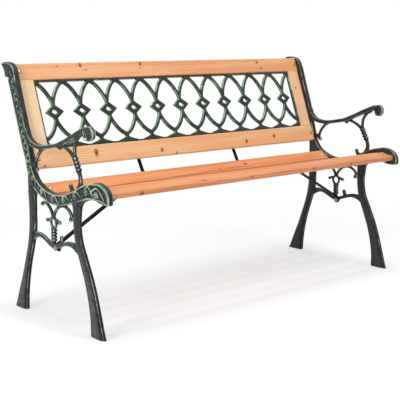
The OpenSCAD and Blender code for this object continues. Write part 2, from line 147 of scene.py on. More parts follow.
def blend_colour(tree, factor, under, over):
    made = add(tree, "ShaderNodeMix", {0: factor, 6: under, 7: over}, data_type="RGBA")
    return made.outputs[2]


def lay(tree, under, mask, strength, over):
    """Lays a colour over another where the mask is 1, as densely as strength says."""
    return blend_colour(tree, maths(tree, "MULTIPLY", mask, strength), under, over)


print("128 on the chart is", round(colour(128, 128, 128)[0], 3), "in scene-linear values")

# %% [markdown]
# Each material holds its own Principled shader. Effects that several of them share, such
# as brushed paint or grain, are node groups with named inputs and outputs. A group gives
# out only colours, masks and values, and the material feeds them to its shader.

# %% Materials and groups
def new_material(name):
    material = bpy.data.materials.new(name)
    material.use_nodes = True
    tree = material.node_tree
    tree.nodes.clear()
    shader = add(tree, "ShaderNodeBsdfPrincipled")
    add(tree, "ShaderNodeOutputMaterial", {"Surface": shader.outputs[0]})
    return material, tree, shader


def new_group(name, inputs, outputs):
    """A node group with float, vector or colour sockets, given as (name, kind) pairs."""
    kinds = {"float": "NodeSocketFloat", "vector": "NodeSocketVector",
             "colour": "NodeSocketColor"}
    tree = bpy.data.node_groups.new(name, "ShaderNodeTree")
    for label, kind in inputs:
        tree.interface.new_socket(label, in_out="INPUT", socket_type=kinds[kind])
    for label, kind in outputs:
        tree.interface.new_socket(label, in_out="OUTPUT", socket_type=kinds[kind])
    given = tree.nodes.new("NodeGroupInput").outputs
    out = tree.nodes.new("NodeGroupOutput").inputs
    return tree, given, out


def place(tree, group, inputs):
    """Puts a group into a material and returns its outputs."""
    return add(tree, "ShaderNodeGroup", inputs, node_tree=group).outputs


def object_place(tree):
    """Where the shaded point is, in the piece's own metres."""
    return add(tree, "ShaderNodeTexCoord").outputs["Object"]


def stored(tree, name):
    """A value that the mesh carries on its points."""
    return add(tree, "ShaderNodeAttribute", attribute_name=name).outputs["Fac"]


def add_bump(tree, shader, height, strength, distance):
    bump = add(tree, "ShaderNodeBump", {"Height": height, "Strength": strength,
                                        "Distance": distance})
    tree.links.new(bump.outputs[0], shader.inputs["Normal"])


def seen_directly(tree):
    """1 for what the camera, a gloss or a glass sees, 0 for light that only bounces."""
    path = add(tree, "ShaderNodeLightPath")
    seen = maths(tree, "MAXIMUM", path.outputs["Is Camera Ray"], path.outputs["Is Glossy Ray"])
    return maths(tree, "MAXIMUM", seen, path.outputs["Is Transmission Ray"])

# %% [markdown]
# ## The studio
# A studio floor looks plain white, yet it still takes the bench's shadow. To the
# camera the floor adds a steady glow to a weak matt white: where light reaches it the sum
# is just above 1, which is white, and in the shadow it falls to a pale grey. Further out
# it turns into plain white. For every other ray it is ordinary matt white, so it throws
# soft light up under the seat.

# %% Floor
SHADOW_REACH, WHITE_FROM = 0.9, 1.8            # metres from the bench's middle


def piece_from(bm, name):
    """Turns an edit mesh into an object of the scene."""
    mesh = bpy.data.meshes.new(name)
    bm.to_mesh(mesh)
    bm.free()
    piece = bpy.data.objects.new(name, mesh)
    bpy.context.scene.collection.objects.link(piece)
    return piece


def make_floor_white():
    material = bpy.data.materials.new("studio_floor")
    material.use_nodes = True
    tree = material.node_tree
    tree.nodes.clear()
    away = vector_maths(tree, "LENGTH", object_place(tree))["Value"]
    far = remap(tree, away, SHADOW_REACH, WHITE_FROM)
    matt = add(tree, "ShaderNodeBsdfDiffuse", {"Color": (0.95, 0.95, 0.95, 1)})
    weak = add(tree, "ShaderNodeBsdfDiffuse", {"Color": (0.43, 0.44, 0.45, 1)})
    glow = add(tree, "ShaderNodeEmission", {"Color": (0.99, 1, 1, 1), "Strength": 0.60})
    white = add(tree, "ShaderNodeEmission", {"Color": (1, 1, 1, 1), "Strength": 1.0})
    near_floor = add(tree, "ShaderNodeAddShader", {0: weak.outputs[0], 1: glow.outputs[0]})
    seen_floor = add(tree, "ShaderNodeMixShader", {0: far, 1: near_floor.outputs[0],
                                                   2: white.outputs[0]})
    either = add(tree, "ShaderNodeMixShader", {0: seen_directly(tree), 1: matt.outputs[0],
                                               2: seen_floor.outputs[0]})
    add(tree, "ShaderNodeOutputMaterial", {"Surface": either.outputs[0]})
    return material


plate = bmesh.new()
bmesh.ops.create_grid(plate, x_segments=1, y_segments=1, size=14.0)
floor = piece_from(plate, "studio_floor")
floor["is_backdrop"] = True
floor.data.materials.append(make_floor_white())
print("floor", tuple(floor.dimensions))

# %% [markdown]
# The room is a dim even white, and three big soft lamps do the rest: one straight
# overhead, which lays the filled shadow between the feet, one far out on the left, which
# models the castings, and one high in front, which puts a sheen on the lattice. Together
# they add up to about 1 on a face, so a colour renders as it is written.

# %% World and lamps
def make_room(level):
    world = bpy.data.worlds.new("studio")
    world.use_nodes = True
    tree = world.node_tree
    tree.nodes.clear()
    room = add(tree, "ShaderNodeBackground", {"Color": (1, 1, 1, 1), "Strength": level})
    white = add(tree, "ShaderNodeBackground", {"Color": (1, 1, 1, 1), "Strength": 1.0})
    either = add(tree, "ShaderNodeMixShader", {0: seen_directly(tree), 1: room.outputs[0],
                                               2: white.outputs[0]})
    add(tree, "ShaderNodeOutputWorld", {"Surface": either.outputs[0]})
    return world


def soft_lamp(name, place_at, look_at, size, level):
    """A square lamp that adds "level" to a matt white face that looks at it."""
    aim = Vector(look_at) - Vector(place_at)
    data = bpy.data.lights.new(name, "AREA")
    data.shape = "SQUARE"
    data.size = size
    data.energy = level * math.pi ** 2 * aim.length ** 2
    lamp = bpy.data.objects.new(name, data)
    lamp.location = place_at
    lamp.rotation_euler = aim.to_track_quat("-Z", "Y").to_euler()
    bpy.context.scene.collection.objects.link(lamp)


bpy.context.scene.world = make_room(0.20)
soft_lamp("overhead_lamp", (0.0, 0.0, 9.0), (0.0, 0.0, 0.3), 2.4, 0.52)
soft_lamp("left_lamp", (-3.6, -0.9, 1.5), (0.0, 0.0, 0.4), 1.2, 0.46)
soft_lamp("front_lamp", (0.3, -2.4, 4.6), (0.0, 0.0, 0.4), 1.3, 0.25)

# %% [markdown]
# ## Sand-cast iron with an antique green finish
# The castings are painted almost black, then brushed with a pale green that catches only
# on what stands proud: beads, spirals and the rims of bars. A shader can't know what
# stands proud, so each casting stores it on its points: "proud" is how
# strongly the surface bulges there, below 0 in a hollow, 0 on a flat face and 1 on a sharp
# edge. On the lattice it also holds a painted highlight.
#
# The solids are plain plates with square edges. A casting has round ones, and ornament
# that grows out of the metal. A bump map would be quicker, but a bump has no outline and
# casts no shadow. So each solid is copied, the ornament is laid on it as tapering rods,
# and a voxel remesh melts the whole into one skin, which is then smoothed.

# %% Shape of the rail and the legs
MM = 0.001
# Centreline and width of the rail that runs from the nose to the head, in millimetres.
RAIL = [(-205, 403, 46), (-166.5, 398, 40), (-128.5, 384.5, 37), (-79.5, 367.5, 31),
        (-28.5, 357, 31), (18.5, 358.5, 30), (63.5, 372.5, 29), (93, 390.5, 28.5),
        (116.5, 422, 28.5), (127.5, 458, 28), (142, 500, 33), (157.5, 550, 38),
        (174.5, 600, 37.5), (191.5, 650, 37.5), (206, 690, 40)]
# The same for the two legs.
FRONT_LEG = [(-204, -16, 68.5), (-200, 0, 61.5), (-192, 50, 47), (-180, 100, 40.5),
             (-163.5, 150, 36.5), (-141, 200, 33.5), (-119, 250, 30), (-111, 300, 29.5),
             (-113.5, 350, 35)]
REAR_LEG = [(201, -16, 70.5), (195.5, 0, 63.5), (183.5, 50, 46), (168.5, 100, 32.5),
            (152.5, 150, 27), (135, 200, 27), (121.5, 250, 31.5), (118.5, 300, 31),
            (118, 350, 32.5)]
BEAD_HEIGHT = 3.0 * MM             # the field of the rail lies this far below its beads
BEAD_WIDTH = 4.0                   # of the bead along each edge of the rail, in mm
field_x = cad_high.x - BEAD_HEIGHT


def smooth_line(points, steps=8):
    """A Catmull-Rom curve through the points, as an array of rows."""
    p = np.array(points, float)
    p = np.vstack([2 * p[0] - p[1], p, 2 * p[-1] - p[-2]])
    rows = []
    for a, b, c, d in zip(p[:-3], p[1:-2], p[2:-1], p[3:]):
        for t in np.arange(steps) / steps:
            rows.append(0.5 * (2 * b + (c - a) * t + (2 * a - 5 * b + 4 * c - d) * t * t
                               + (3 * b - a - 3 * c + d) * t ** 3))
    rows.append(p[-2])
    return np.array(rows)


rail = smooth_line(RAIL)
steps = np.linalg.norm(np.diff(rail[:, :2], axis=0), axis=1)
rail_at = np.concatenate([[0], np.cumsum(steps)])      # distance of each row from the nose


def rail_step(along):
    """A short step of the centreline, from just behind a point to just ahead of it."""
    ahead, behind = min(along + 2, rail_at[-1]), max(along - 2, 0)
    return [np.interp(ahead, rail_at, rail[:, k]) - np.interp(behind, rail_at, rail[:, k])
            for k in (0, 1)]


def on_rail(along, across=0.0):
    """A point of the rail's field: distance from its nose end and across it, in mm."""
    y, z = (np.interp(along, rail_at, rail[:, k]) for k in (0, 1))
    dy, dz = rail_step(along)
    size = math.hypot(dy, dz)
    return np.array([y - across * dz / size, z + across * dy / size])


def rail_turn(along):
    """The rail's direction, in degrees from level."""
    dy, dz = rail_step(along)
    return math.degrees(math.atan2(dz, dy))


def field_width(along):
    return float(np.interp(along, rail_at, rail[:, 2])) - 2 * BEAD_WIDTH


print("rail length", round(rail_at[-1]), "mm")

# %% [markdown]
# An ornament stroke is a list of points with a radius at each, drawn on a flat face. As a
# curve with a round bevel it becomes a tapering rod, half sunk in the plate. A spiral is
# one such stroke whose distance from the eye grows as it turns. The relief could also be
# sculpted by hand, but then the other casting couldn't repeat it, nor could a change of
# the rail carry it along.

# %% Strokes of the ornament
strokes = []                       # each one is an array of rows: y, z, radius in mm
POINTS_A_TURN, EYE_RADIUS = 16, 1.5            # of a spiral; the radius in mm


def stroke(points, steps=6):
    strokes.append(smooth_line(points, steps))


def leaf(root, tip, bend, thick):
    """A tapering stroke from root to tip that swells in its middle."""
    root, tip = np.array(root, float), np.array(tip, float)
    side = np.array([-(tip - root)[1], (tip - root)[0]])
    middle = (root + tip) / 2 + bend * side
    stroke([(*root, thick * 0.6), (*middle, thick), (*tip, thick * 0.4)], 5)


def ball(centre, radius):
    """A bead: a rod too short to look like one, which the melting rounds."""
    y, z = centre
    strokes.append(np.array([(y - 0.4, z, radius), (y + 0.4, z, radius)]))


def spiral(eye, reach, end, turns, thick, tail=(), hand=1):
    """Unwinds from its eye to "end" degrees at its rim, and runs on along the tail."""
    count = int(turns * POINTS_A_TURN)
    rows = []
    for k in range(count + 1):
        t = k / count
        angle = math.radians(end - hand * 360 * turns * (1 - t))
        r = EYE_RADIUS + (reach - EYE_RADIUS) * t ** 0.9
        rows.append((eye[0] + r * math.cos(angle), eye[1] + r * math.sin(angle),
                     thick * (0.75 + 0.25 * t)))
    if len(tail):
        rows += list(smooth_line([rows[-1], *tail], 5)[1:])
    strokes.append(np.array(rows))
    ball(eye, thick * 1.35)


print("stroke, leaf, ball and spiral are ready")

# %% [markdown]
# Along the seat runs a wave of spirals, about 6 cm apart. Each one opens at its top into
# a stem that falls towards the nose and ends beneath the next spiral, and a small curl and
# two leaves fill the gap. The places are given along and across the rail, so the wave
# follows its curve.

# %% Wave of spirals along the seat
FIRST_SPIRAL, WAVE, SPIRALS = 40.0, 58.0, 6    # place of the first, pitch in mm, count
for k in range(SPIRALS):
    s = FIRST_SPIRAL + WAVE * k
    half = field_width(s) / 2
    reach = min(0.82 * half, 10.0)
    stem = [(*on_rail(s - 9, 0.86 * half), 2.0), (*on_rail(s - 17, 0.45 * half), 2.1),
            (*on_rail(s - 24, -0.3 * half), 1.9), (*on_rail(s - 31, -0.85 * half), 1.4)]
    spiral(on_rail(s, -0.04 * half), reach, rail_turn(s) + 90, 1.4, 2.0, stem)
    spiral(on_rail(s + 20, 0.28 * half), 0.38 * half, rail_turn(s) - 60, 0.9, 1.3,
           [(*on_rail(s + 13, -0.55 * half), 1.3)], -1)
    leaf(on_rail(s + 16, -0.75 * half), on_rail(s + 27, -0.35 * half), 0.18, 1.5)
    leaf(on_rail(s - 12, -0.35 * half), on_rail(s - 15, -0.85 * half), 0.2, 1.3)
print("strokes along the seat", len(strokes))

# %% [markdown]
# Up the back the same scroll is smaller and much denser. It winds from side to side, so
# each curl turns the other way round and grows out of the edge that the one before left.

# %% Scrolls up the back
CURLS = 15
first_curl, last_curl = 366.0, rail_at[-1] - 10
for k in range(CURLS):
    s = first_curl + (last_curl - first_curl) * k / (CURLS - 1)
    up = 1 if k % 2 == 0 else -1
    half = field_width(s) / 2
    spiral(on_rail(s, up * 0.32 * half), 0.55 * half, rail_turn(s) - 90 * up, 1.15, 1.6,
           [(*on_rail(s - 9, -up * 0.45 * half), 1.6), (*on_rail(s - 15, -up * 0.8 * half), 1.2)],
           up)
    leaf(on_rail(s + 3, -up * 0.5 * half), on_rail(s + 10, -up * 0.8 * half), -0.2 * up, 1.4)
print("strokes on the rail", len(strokes))

# %% [markdown]
# The nose carries a pointed arch with a seven-petalled flower in it, a row of small beads
# along its rolled front edge, and a tongue-shaped leaf over its lower lip.

# %% Nose
ARCH = [(-184, 394, 1.5), (-187, 399, 1.9), (-198, 407.5, 2.1), (-211.5, 413, 2.2),
        (-225, 407.5, 2.2), (-236, 397.5, 2.1), (-246, 384.5, 1.6)]
TONGUE = [(-197, 378.5, 1.2), (-208, 381.5, 1.6), (-222, 382.5, 1.7), (-240, 380, 1.7),
          (-258, 375, 1.4)]
FRONT_EDGE = [(-263.6, 376, 1.9), (-264.5, 387, 2.1), (-261.5, 398, 2.1), (-254.5, 407.3, 2.1),
              (-244.5, 414.6, 2.1), (-230.5, 420.3, 2.0), (-215, 422.6, 1.9), (-199, 421.2, 1.7)]
BEAD_ROW = [(-257.3, 383, 1.5), (-257, 390, 1.5), (-254, 397.5, 1.5), (-248, 404, 1.5),
            (-240, 409.5, 1.5), (-230.5, 413.5, 1.5)]
FLOWER = (-211.0, 393.5)
PETALS = (14, 66, 112, 158, 205, 262, 322)     # degrees round the flower's eye
stroke(ARCH)
ball(FLOWER, 2.6)
for degrees in PETALS:
    a = math.radians(degrees)
    leaf((FLOWER[0] + 3.5 * math.cos(a), FLOWER[1] + 3.5 * math.sin(a)),
         (FLOWER[0] + 12.5 * math.cos(a), FLOWER[1] + 11.5 * math.sin(a)), 0.05, 2.1)
stroke(TONGUE)
stroke(FRONT_EDGE)
for y, z, radius in smooth_line(BEAD_ROW, 2):
    ball((y, z), radius)
print("strokes up to the nose", len(strokes))

# %% [markdown]
# The head at the top of the back has a rolled rim, one larger scroll and two leaves. The
# arm ends in a hook: a rim in the shape of a U runs round its hollow.

# %% Head and hook
HEAD_RIM = [(190.5, 693, 1.7), (194, 707, 1.9), (203, 718.5, 2.0), (217, 725.5, 2.0),
            (234, 727.6, 2.0), (251, 726.6, 2.0), (262, 723.5, 1.6)]
HOOK_RIM = [(-157, 553, 1.4), (-158, 545, 1.6), (-161, 537, 1.7), (-166.5, 533.5, 1.8),
            (-172.5, 535.5, 1.8), (-177, 542, 1.8), (-179, 551, 1.8), (-177, 560, 1.6),
            (-170, 567, 1.4)]
stroke(HEAD_RIM)
spiral((226, 707), 10.0, 150, 1.5, 1.9, [(210, 699, 1.6), (203, 690, 1.2)], -1)
leaf((240, 712), (254, 717), -0.2, 1.8)
leaf((205, 708), (212, 718), 0.2, 1.4)
stroke(HOOK_RIM)
print("strokes in all", len(strokes))

# %% [markdown]
# The strokes become one curve object, and its round bevel turns them into rods. Only the
# outer face of a casting carries them. The rods are drawn out from the face by about a
# third, because melting and smoothing lower them again, and still end below the beads.

# %% From strokes to rods
RELIEF = 1.3                       # how much higher a rod is than its radius, before melting


def applied(piece):
    """The mesh that an object's bevel or modifiers make of it."""
    bpy.context.view_layer.update()
    graph = bpy.context.evaluated_depsgraph_get()
    return bpy.data.meshes.new_from_object(piece.evaluated_get(graph))


def rod_mesh(side):
    """All strokes as tapering rods in the field of the casting on that side."""
    data = bpy.data.curves.new("strokes", "CURVE")
    data.dimensions = "3D"
    data.bevel_depth = 1.0
    data.bevel_resolution = 3
    data.use_fill_caps = True
    for rows in strokes:
        line = data.splines.new("POLY")
        line.points.add(len(rows) - 1)
        for point, (y, z, radius) in zip(line.points, rows):
            point.co = (0.0, y * MM, z * MM, 1.0)
            point.radius = radius * MM
    maker = bpy.data.objects.new("strokes", data)
    bpy.context.scene.collection.objects.link(maker)
    mesh = applied(maker)
    bpy.data.objects.remove(maker)
    mesh.transform(Matrix.Translation((side * field_x, 0, 0))
                   @ Matrix.Scale(RELIEF, 4, (1, 0, 0)))
    return mesh


print("points of all rods", sum(len(rows) for rows in strokes))

# %% [markdown]
# A casting starts as a copy of its CAD solid. That mesh is a heap of loose triangles, so
# their points are merged first: with cracks between its faces, the remesh would take the
# solid for a set of thin shells. Then one skin is drawn over the solid and its rods.

# %% From a solid to one skin
VOXEL = 1.3 * MM                   # a rod is two to three of these wide
MOST_TRIANGLES = 190000
MERGE_WITHIN = 0.00002             # in metres


def merged_copy(node_name):
    """An edit mesh of a CAD node, with its triangles joined."""
    bm = bmesh.new()
    bm.from_mesh(nodes[node_name].data)
    bmesh.ops.remove_doubles(bm, verts=bm.verts, dist=MERGE_WITHIN)
    return bm


def apply_modifiers(piece):
    result = applied(piece)
    piece.modifiers.clear()
    piece.data = result


def skin(piece, voxel):
    remesh = piece.modifiers.new("one skin", "REMESH")
    remesh.mode = "VOXEL"
    remesh.voxel_size = voxel
    remesh.use_smooth_shade = True
    apply_modifiers(piece)


def thin(piece, triangles):
    """Joins faces where the surface is flat, until about that many triangles are left."""
    piece.data.calc_loop_triangles()
    decimate = piece.modifiers.new("fewer faces", "DECIMATE")
    decimate.ratio = min(1.0, triangles / len(piece.data.loop_triangles))
    apply_modifiers(piece)
    piece.data.calc_loop_triangles()
    print(piece.name, len(piece.data.loop_triangles), "triangles")


print("voxel", VOXEL / MM, "mm")

# %% [markdown]
# Blender can hand over a mesh as arrays, which makes it quick to work on every point. How
# far a point stands above the mean of its neighbours tells an edge from a hollow and from
# a flat face, and smoothing is nothing but moving each point towards that mean.

# %% A mesh as arrays
def point_table(mesh):
    """Coordinates, normals and the two ends of every edge."""
    co = np.empty(len(mesh.vertices) * 3)
    mesh.vertices.foreach_get("co", co)
    no = np.empty(len(mesh.vertices) * 3)
    mesh.vertex_normals.foreach_get("vector", no)
    ends = np.empty(len(mesh.edges) * 2, np.int64)
    mesh.edges.foreach_get("vertices", ends)
    return co.reshape(-1, 3), no.reshape(-1, 3), ends.reshape(-1, 2)


def put_points(mesh, co):
    mesh.vertices.foreach_set("co", co.ravel())
    mesh.update()


def store(mesh, name, values):
    """Keeps one value per point on the mesh, where a shader can read it."""
    attribute = mesh.attributes.new(name, "FLOAT", "POINT")
    attribute.data.foreach_set("value", np.asarray(values, np.float32))


def neighbour_mean(values, ends, count):
    """Each point's mean over the points that share an edge with it."""
    total = np.zeros((count,) + values.shape[1:])
    number = np.zeros(count)
    for a, b in ((0, 1), (1, 0)):
        np.add.at(total, ends[:, a], values[ends[:, b]])
        np.add.at(number, ends[:, a], 1)
    number = np.maximum(number, 1)
    return total / (number[:, None] if values.ndim > 1 else number)


def bulge(mesh, spread):
    """How far each point stands above the mean of its neighbours, blurred a little."""
    co, no, ends = point_table(mesh)
    mean = co
    for _ in range(spread):
        mean = neighbour_mean(mean, ends, len(co))
    height = ((co - mean) * no).sum(1)
    return neighbour_mean(height, ends, len(co))


print("points of the left solid", len(point_table(nodes["left_end_frame"].data)[0]))

# %% [markdown]
# A skin is shaped in four ways. Smoothing rounds a thin bar from all sides. Swelling works
# along one direction only, so it rounds a face and leaves its outline alone. Rounding off
# thins a leg towards its edges, and a dent is a hollow pressed into the outer face.

# %% Tools that shape a skin
HALF_THICK = 0.009                 # half the thickness of a casting, in metres
HALF_WAY = 0.5                     # how far one round of smoothing moves a point


def smooth_points(mesh, times, factor):
    """Moves each point towards its neighbours; factor may differ from point to point."""
    co, _, ends = point_table(mesh)
    for _ in range(times):
        co += factor * (neighbour_mean(co, ends, len(co)) - co)
    put_points(mesh, co)


def swell(mesh, along, times, factor):
    """Rounds the faces that look along one direction; outlines seen along it stay."""
    co, _, ends = point_table(mesh)
    depth = co @ along
    flat = co - depth[:, None] * along
    for _ in range(times):
        depth += factor * (neighbour_mean(depth, ends, len(co)) - depth)
    put_points(mesh, flat + depth[:, None] * along)


def round_off(mesh, side, share):
    """Draws points towards the casting's middle plane by a share of their distance."""
    co, _, _ = point_table(mesh)
    middle = side * (cad_high.x - HALF_THICK)
    co[:, 0] += (middle - co[:, 0]) * share
    put_points(mesh, co)


def dent(mesh, side, line, radius, depth):
    """Presses a round-ended hollow along a line; all in mm."""
    co, no, _ = point_table(mesh)
    path = smooth_line(line)
    away = np.hypot(co[:, 1:2] / MM - path[None, :, 0],
                    co[:, 2:3] / MM - path[None, :, 1]).min(axis=1)
    sink = np.clip((radius - away) / radius * 1.6, 0, 1) * np.clip(side * no[:, 0], 0, 1)
    co[:, 0] -= side * depth * MM * sink
    put_points(mesh, co)


print("middle of the castings at", round(cad_high.x - HALF_THICK, 4), "m to either side")

# %% [markdown]
# What is done to a point depends on where it lies: on the rail or beside it, on the
# middle of a leg or its edge, on the nose, the head or the arm's hook, on the outer face
# or an inner one. All of this is worked out once, from the point's place and its normal.

# %% Where each point lies on its casting
HOOK, HOOK_REACH = (-178, 553), 25             # middle and radius of the arm's curled end
HOOK_SLOT = [(-168, 539), (-164, 548), (-163, 557)]     # the hollow in it
SLOT_RADIUS, SLOT_DEPTH = 4.0, 5.0


def between(values, low, high):
    return (values > low) & (values < high)


def outside_rail(co):
    """Distance of each point from the rail's edge, in mm; negative inside the rail."""
    y, z = co[:, 1:2] / MM, co[:, 2:3] / MM
    gap = np.hypot(y - rail[None, :, 0], z - rail[None, :, 1]) - rail[None, :, 2] / 2
    return gap.min(axis=1)


def across_legs(co):
    """0 on the centreline of a leg, 1 on its edge, more beside it."""
    y, z = co[:, 1:2] / MM, co[:, 2:3] / MM
    nearest = np.full(len(co), 9.0)
    for table in (FRONT_LEG, REAR_LEG):
        leg = smooth_line(table)
        part = np.hypot(y - leg[None, :, 0], z - leg[None, :, 1])
        pick = part.argmin(axis=1)
        nearest = np.minimum(nearest, part.min(axis=1) / (leg[pick, 2] / 2))
    return nearest


def locate(mesh, side):
    """Distances, and masks from 0 to 1, for every point of a casting."""
    co, no, _ = point_table(mesh)
    y, z, depth = co[:, 1], co[:, 2], np.abs(co[:, 0])
    at = SimpleNamespace(z=z, depth=depth, gap=outside_rail(co), across=across_legs(co))
    # bars to be rounded: the openwork, the arm's curled end and the spindle under the arm
    at.thin_bar = (at.gap > 1.0) & between(depth, cad_high.x - 0.0125, cad_high.x - 0.0018)
    away = np.hypot(y / MM - HOOK[0], z / MM - HOOK[1])
    at.hook = np.clip((HOOK_REACH - away) / 4, 0, 1)
    at.spindle = between(y, -0.150, -0.090) & between(z, 0.425, 0.500)
    # the rim of the hook, where it doesn't look out to the side
    at.curl = at.hook * (y < -0.165) * np.clip(1.2 - 1.6 * np.abs(no[:, 0]), 0, 1)
    # the outer face of the rail with its nose and head, and the field between its beads
    at.nose = (y < -0.19) & between(z, 0.36, 0.43)
    head = z > 0.685
    outer = np.clip((side * no[:, 0] + 0.2) / 0.6, 0, 1) * (depth > cad_high.x - 0.006)
    at.ornate = outer * ((at.gap < 1.0) | at.nose | head)
    at.inside = at.ornate * np.clip((-at.gap - 3.0) / 1.5, 0, 1)
    # the side towards the bench's middle, and the legs below the rail
    at.inner = np.interp(depth, [cad_high.x - 0.012, cad_high.x - 0.006], [1, 0])
    at.leg = np.clip((at.gap - 1.0) / 6, 0, 1) * np.clip((0.36 - z) / 0.02, 0, 1)
    return at


print("hook", HOOK, "radius", HOOK_REACH, "mm")

# %% [markdown]
# The brush is recorded the same way. On the rail "proud" is how high a point
# stands above the field. Elsewhere it is how sharply the surface bulges. "patina"
# is how much paint was on the brush: most of it on the nose and hardly any on the beads up
# the back; it is lower on the inner faces than outside, as painted shade. "edge" is painted
# shade on the legs: it darkens their edges, and by half their inner faces.

# %% Marks for the paint
SHARP = 0.375 * MM                 # a point this far above its neighbours is a sharp edge
ROD_TOP = 1.6 * MM                 # height of a smoothed rod above the field


def mark_paint(mesh, at):
    """Stores the marks; each np.interp goes by height in metres, or across a leg."""
    # the small scrolls up the back came out lower than the spirals of the seat
    above_field = (at.depth - field_x) / (np.interp(at.z, [0.40, 0.46], [1.0, 0.8]) * ROD_TOP)
    proud = bulge(mesh, 5) / SHARP
    proud += at.inside * (above_field * 1.25 - 0.35 - proud)
    proud += 0.55 * at.curl
    # most paint low down, on the ornament and on the nose
    patina = np.interp(at.z, [0.0, 0.20, 0.34], [0.85, 0.85, 0.66]) + 0.3 * at.ornate
    patina += 0.5 * (at.nose & (at.ornate > 0)) + 0.3 * at.curl
    # less on the beads, above all up the back, and in the field there
    bead = (at.ornate > 0) * (1 - at.inside)
    patina -= np.interp(at.z, [0.54, 0.62, 0.675, 0.69], [0, 1.1, 1.1, 0]) * bead
    patina -= 0.15 * bead * (1 - at.nose)
    patina -= np.interp(at.z, [0.40, 0.46], [0, 0.25]) * at.inside
    # painted shade: darker along the edges of each leg
    edge = np.interp(at.across, [0.4, 0.7, 1.1, 1.2], [0, 1, 1, 0])
    store(mesh, "proud", proud)
    store(mesh, "ornate", at.ornate)
    # painted shade: the inner faces get less pale green
    store(mesh, "patina", patina - 0.3 * at.inner)
    # painted shade on the inner faces of the legs as well
    store(mesh, "edge", at.leg * np.maximum(edge, 0.5 * at.inner))


print("a rod stands", round(ROD_TOP / MM, 2), "mm above the field")

# %% [markdown]
# Now the castings themselves. A solid and its rods are melted into one skin, the thin
# bars, the hook and the spindle under the arm are rounded, and the marks are stored
# before the legs are swollen and rounded off. Thinning comes last, because it leaves
# points where the surface curves and keeps what is stored on them.

# %% Melt each solid and its ornament into one casting
def melt(name, node_name, side):
    """One casting from its solid and its rods; side is -1 on the left, 1 on the right."""
    bm = merged_copy(node_name)
    bm.from_mesh(rod_mesh(side))
    piece = piece_from(bm, name)
    skin(piece, VOXEL)
    smooth_points(piece.data, 3, HALF_WAY)
    at = locate(piece.data, side)
    for times, mask in ((8, at.thin_bar), (14, at.hook), (8, at.spindle)):
        smooth_points(piece.data, times, HALF_WAY * mask[:, None])
    dent(piece.data, side, HOOK_SLOT, SLOT_RADIUS, SLOT_DEPTH)
    mark_paint(piece.data, at)
    swell(piece.data, np.array([1.0, 0.0, 0.0]), 6, HALF_WAY * at.leg)
    round_off(piece.data, side, at.leg * np.interp(at.across, [0, 0.3, 0.7, 1.0, 1.4],
                                                   [0, 0.02, 0.12, 0.28, 0]))
    thin(piece, MOST_TRIANGLES)
    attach(piece, "root")
    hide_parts(node_name)
    return piece


castings = [melt("left_casting", "left_end_frame", -1),
            melt("right_casting", "right_end_frame", 1)]

# %% [markdown]
# The finish of the castings reads "proud". Between the painted shade of the
# hollows and the charcoal of the faces the paint's tone wanders a little, as a hand brush
# leaves it, and the green is broken up by noise where it was dragged dry over the sand-cast
# surface. On the lattice the same masks lay a painted highlight, so they are a node group
# that gives out masks.

# %% Group: dry-brushed paint
def noise(tree, vector, scale, detail, roughness=0.5):
    return add(tree, "ShaderNodeTexNoise", {"Vector": vector, "Scale": scale, "Detail": detail,
                                            "Roughness": roughness}).outputs


def broken_up(tree, value, by, strength):
    """Adds noise centred on zero, so that the value keeps its meaning."""
    return maths(tree, "MULTIPLY_ADD", maths(tree, "SUBTRACT", by, 0.5), strength, value)


def make_dry_brush_and_painted_light():
    tree, given, out = new_group(
        "dry_brush", [("Vector", "vector"), ("Proud", "float"), ("Amount", "float")],
        [("Wash", "float"), ("Light", "float"), ("Hollow", "float"), ("Grit", "float"),
         ("Speckle", "float"), ("Cloud", "float")])
    drag = noise(tree, given["Vector"], 230.0, 4.0, 0.65)[0]
    cloud = noise(tree, given["Vector"], 30.0, 2.0)[0]
    grit = noise(tree, given["Vector"], 250.0, 4.0, 0.65)[0]
    grains = add(tree, "ShaderNodeTexVoronoi", {"Vector": given["Vector"], "Scale": 210.0,
                                                "Randomness": 1.0}).outputs["Distance"]
    touched = broken_up(tree, broken_up(tree, given["Proud"], drag, 0.8), cloud, 1.1)
    # less paint on the brush: only what stands higher is touched
    touched = maths(tree, "MULTIPLY_ADD", given["Amount"], 0.6, touched)
    touched = maths(tree, "SUBTRACT", touched, 0.55)
    masks = {"Wash": remap(tree, touched, 0.30, 0.95), "Light": remap(tree, touched, 0.70, 1.10),
             "Hollow": remap(tree, given["Proud"], 0.05, -0.45), "Grit": grit,
             "Speckle": remap(tree, grains, 0.45, 0.15), "Cloud": remap(tree, cloud, 0.35, 0.65)}
    for name, mask in masks.items():
        feed(tree, out[name], mask)
    return tree


dry_brush = make_dry_brush_and_painted_light()
print("the brush's group has", len(dry_brush.nodes), "nodes")

# %% [markdown]
# The paint of the castings is laid on in the painter's order: charcoal, a bluish ground
# in the field of the rail, grains of sand, painted shade in the hollows, a thin green wash
# and last the pale green. Low on the legs the green gives way to grey dust, and painted
# shade darkens the edges of the legs and their inner faces.

# %% Iron and its green
DUST_BELOW, GREEN_ABOVE = 0.12, 0.34           # metres above the ground


